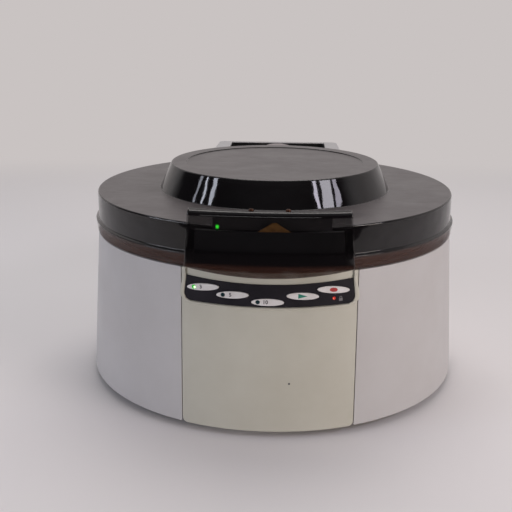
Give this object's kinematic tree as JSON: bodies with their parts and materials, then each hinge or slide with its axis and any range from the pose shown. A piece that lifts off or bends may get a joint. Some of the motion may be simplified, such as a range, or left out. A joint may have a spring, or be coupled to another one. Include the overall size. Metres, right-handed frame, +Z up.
{
  "type": "benchtop centrifuge",
  "caption": "Round benchtop centrifuge with a smoked domed lid, a front keypad, a swing-out tube rotor and a rear hinge housing.",
  "frame": {"origin": "on the bench, under the middle of the overall width and depth; the drum's axis stands 18.5 mm in front of it", "axes": "+Z up, +X to the right seen from the front, +Y towards the back; the keypad faces -Y"},
  "size_m": [0.34, 0.393, 0.1924],
  "materials": {
    "drum_plastic": "fine-grained moulding",
    "panel_plastic": "fine-grained moulding",
    "keypad_film": "satin polyester film",
    "key_plastic": "satin",
    "lamp_green": "clear lens, lit",
    "lamp_smoke": "clear lens, unlit",
    "lamp_red": "clear lens, lit",
    "smoked_lid": "polished, smoked and see-through",
    "black_plastic": "satin",
    "rubber": "matte",
    "grey_plastic": "satin",
    "nylon": "satin",
    "stainless": "brushed",
    "zinc_steel": "zinc plated",
    "motor_paint": "powder coat",
    "arm_paint": "powder coat",
    "cast_aluminium": "bead blasted",
    "circuit_board": "solder mask",
    "yellow_steel": "yellow passivated"
  },
  "bodies": {
    "base": {"drum_shell": "drum_plastic", "front_panel": "panel_plastic", "keypad_overlay": "keypad_film", "keypad_board": "circuit_board", "lamp_lit": "lamp_green", "lamps_dark": "lamp_smoke", "lamp_lock": "lamp_red", "base_pan": "zinc_steel", "rubber_feet": "rubber", "foot_screws": "zinc_steel", "top_deck": "grey_plastic", "deck_screws": "zinc_steel", "lid_gasket": "rubber", "bowl": "stainless", "guard_ring": "zinc_steel", "motor_can": "motor_paint", "motor_end_cap": "black_plastic", "bearings": "stainless", "motor_plate": "zinc_steel", "motor_posts": "zinc_steel", "motor_isolators": "rubber", "speed_sensor": "black_plastic", "control_board": "circuit_board", "board_standoffs": "zinc_steel", "power_supply": "zinc_steel", "rear_housing": "drum_plastic", "hinge_pin": "stainless", "hinge_spacers": "nylon", "mains_inlet": "black_plastic", "switch_body": "black_plastic", "solenoid": "zinc_steel", "interlock_switch": "black_plastic"},
    "lid": {"lid_shell": "smoked_lid", "latch_housing": "black_plastic", "latch_tongue": "stainless", "latch_bracket": "yellow_steel", "status_lamp": "lamp_green", "hinge_arm": "arm_paint", "lid_screws": "yellow_steel"},
    "rotor": {"motor_shaft": "stainless", "armature": "zinc_steel", "rotor_yoke": "cast_aluminium", "rotor_nut": "cast_aluminium"},
    "carrier_1": {"tube_carrier_1": "grey_plastic"},
    "carrier_2": {"tube_carrier_2": "grey_plastic"},
    "carrier_3": {"tube_carrier_3": "grey_plastic"},
    "carrier_4": {"tube_carrier_4": "grey_plastic"},
    "carrier_5": {"tube_carrier_5": "grey_plastic"},
    "carrier_6": {"tube_carrier_6": "grey_plastic"},
    "carrier_7": {"tube_carrier_7": "grey_plastic"},
    "carrier_8": {"tube_carrier_8": "grey_plastic"},
    "latch": {"latch_slide": "zinc_steel", "solenoid_plunger": "zinc_steel"},
    "key_3_cap": {"key_3": "key_plastic"},
    "key_5_cap": {"key_5": "key_plastic"},
    "key_10_cap": {"key_10": "key_plastic"},
    "key_start_cap": {"key_start": "key_plastic"},
    "key_stop_cap": {"key_stop": "key_plastic"},
    "rocker": {"power_rocker": "black_plastic"},
    "drawer": {"fuse_drawer": "black_plastic"}
  },
  "joints": [
    {"name": "lid_hinge", "type": "hinge", "parent": "base", "child": "lid", "pos_m": [0, 0.1645, 0.168], "axis": [-1, 0, 0], "range_deg": [0, 78]},
    {"name": "rotor_spin", "type": "hinge", "parent": "base", "child": "rotor", "pos_m": [0, -0.0185, 0.1], "axis": [0, 0, 1], "continuous": true},
    {"name": "carrier_1_swing", "type": "hinge", "parent": "rotor", "child": "carrier_1", "pos_m": [0.05, -0.0185, 0.146], "axis": [0, -1, 0], "range_deg": [0, 90]},
    {"name": "carrier_2_swing", "type": "hinge", "parent": "rotor", "child": "carrier_2", "pos_m": [0.03535, 0.01685, 0.146], "axis": [0.7071, -0.7071, 0], "range_deg": [0, 90]},
    {"name": "carrier_3_swing", "type": "hinge", "parent": "rotor", "child": "carrier_3", "pos_m": [0, 0.0315, 0.146], "axis": [1, 0, 0], "range_deg": [0, 90]},
    {"name": "carrier_4_swing", "type": "hinge", "parent": "rotor", "child": "carrier_4", "pos_m": [-0.03535, 0.01685, 0.146], "axis": [0.7071, 0.7071, 0], "range_deg": [0, 90]},
    {"name": "carrier_5_swing", "type": "hinge", "parent": "rotor", "child": "carrier_5", "pos_m": [-0.05, -0.0185, 0.146], "axis": [0, 1, 0], "range_deg": [0, 90]},
    {"name": "carrier_6_swing", "type": "hinge", "parent": "rotor", "child": "carrier_6", "pos_m": [-0.03535, -0.05386, 0.146], "axis": [-0.7071, 0.7071, 0], "range_deg": [0, 90]},
    {"name": "carrier_7_swing", "type": "hinge", "parent": "rotor", "child": "carrier_7", "pos_m": [0, -0.0685, 0.146], "axis": [-1, 0, 0], "range_deg": [0, 90]},
    {"name": "carrier_8_swing", "type": "hinge", "parent": "rotor", "child": "carrier_8", "pos_m": [0.03535, -0.05386, 0.146], "axis": [-0.7071, -0.7071, 0], "range_deg": [0, 90]},
    {"name": "latch_shift", "type": "slide", "parent": "base", "child": "latch", "axis": [1, 0, 0], "range_m": [0, 0.006], "stiffness_N_per_m": 150, "springref_m": -0.002},
    {"name": "key_3_press", "type": "slide", "parent": "base", "child": "key_3_cap", "axis": [0.3162, 0.9464, -0.0656], "range_m": [0, 0.0006], "stiffness_N_per_m": 800, "springref_m": -0.0005},
    {"name": "key_5_press", "type": "slide", "parent": "base", "child": "key_5_cap", "axis": [0.1723, 0.9829, -0.0656], "range_m": [0, 0.0006], "stiffness_N_per_m": 800, "springref_m": -0.0005},
    {"name": "key_10_press", "type": "slide", "parent": "base", "child": "key_10_cap", "axis": [0.0061, 0.9978, -0.0656], "range_m": [0, 0.0006], "stiffness_N_per_m": 800, "springref_m": -0.0005},
    {"name": "key_start_press", "type": "slide", "parent": "base", "child": "key_start_cap", "axis": [-0.1588, 0.9851, -0.0656], "range_m": [0, 0.0006], "stiffness_N_per_m": 800, "springref_m": -0.0005},
    {"name": "key_stop_press", "type": "slide", "parent": "base", "child": "key_stop_cap", "axis": [-0.3046, 0.9502, -0.0656], "range_m": [0, 0.0006], "stiffness_N_per_m": 800, "springref_m": -0.0005},
    {"name": "rocker_tip", "type": "hinge", "parent": "base", "child": "rocker", "pos_m": [0.03, 0.1905, 0.052], "axis": [1, 0, 0], "range_deg": [-14, 0]},
    {"name": "drawer_slide", "type": "slide", "parent": "base", "child": "drawer", "axis": [0, 1, 0], "range_m": [0, 0.016]}
  ],
  "couplings": [
    {"joint": "carrier_2_swing", "follows": "carrier_1_swing", "ratio": 1},
    {"joint": "carrier_3_swing", "follows": "carrier_1_swing", "ratio": 1},
    {"joint": "carrier_4_swing", "follows": "carrier_1_swing", "ratio": 1},
    {"joint": "carrier_5_swing", "follows": "carrier_1_swing", "ratio": 1},
    {"joint": "carrier_6_swing", "follows": "carrier_1_swing", "ratio": 1},
    {"joint": "carrier_7_swing", "follows": "carrier_1_swing", "ratio": 1},
    {"joint": "carrier_8_swing", "follows": "carrier_1_swing", "ratio": 1}
  ]
}
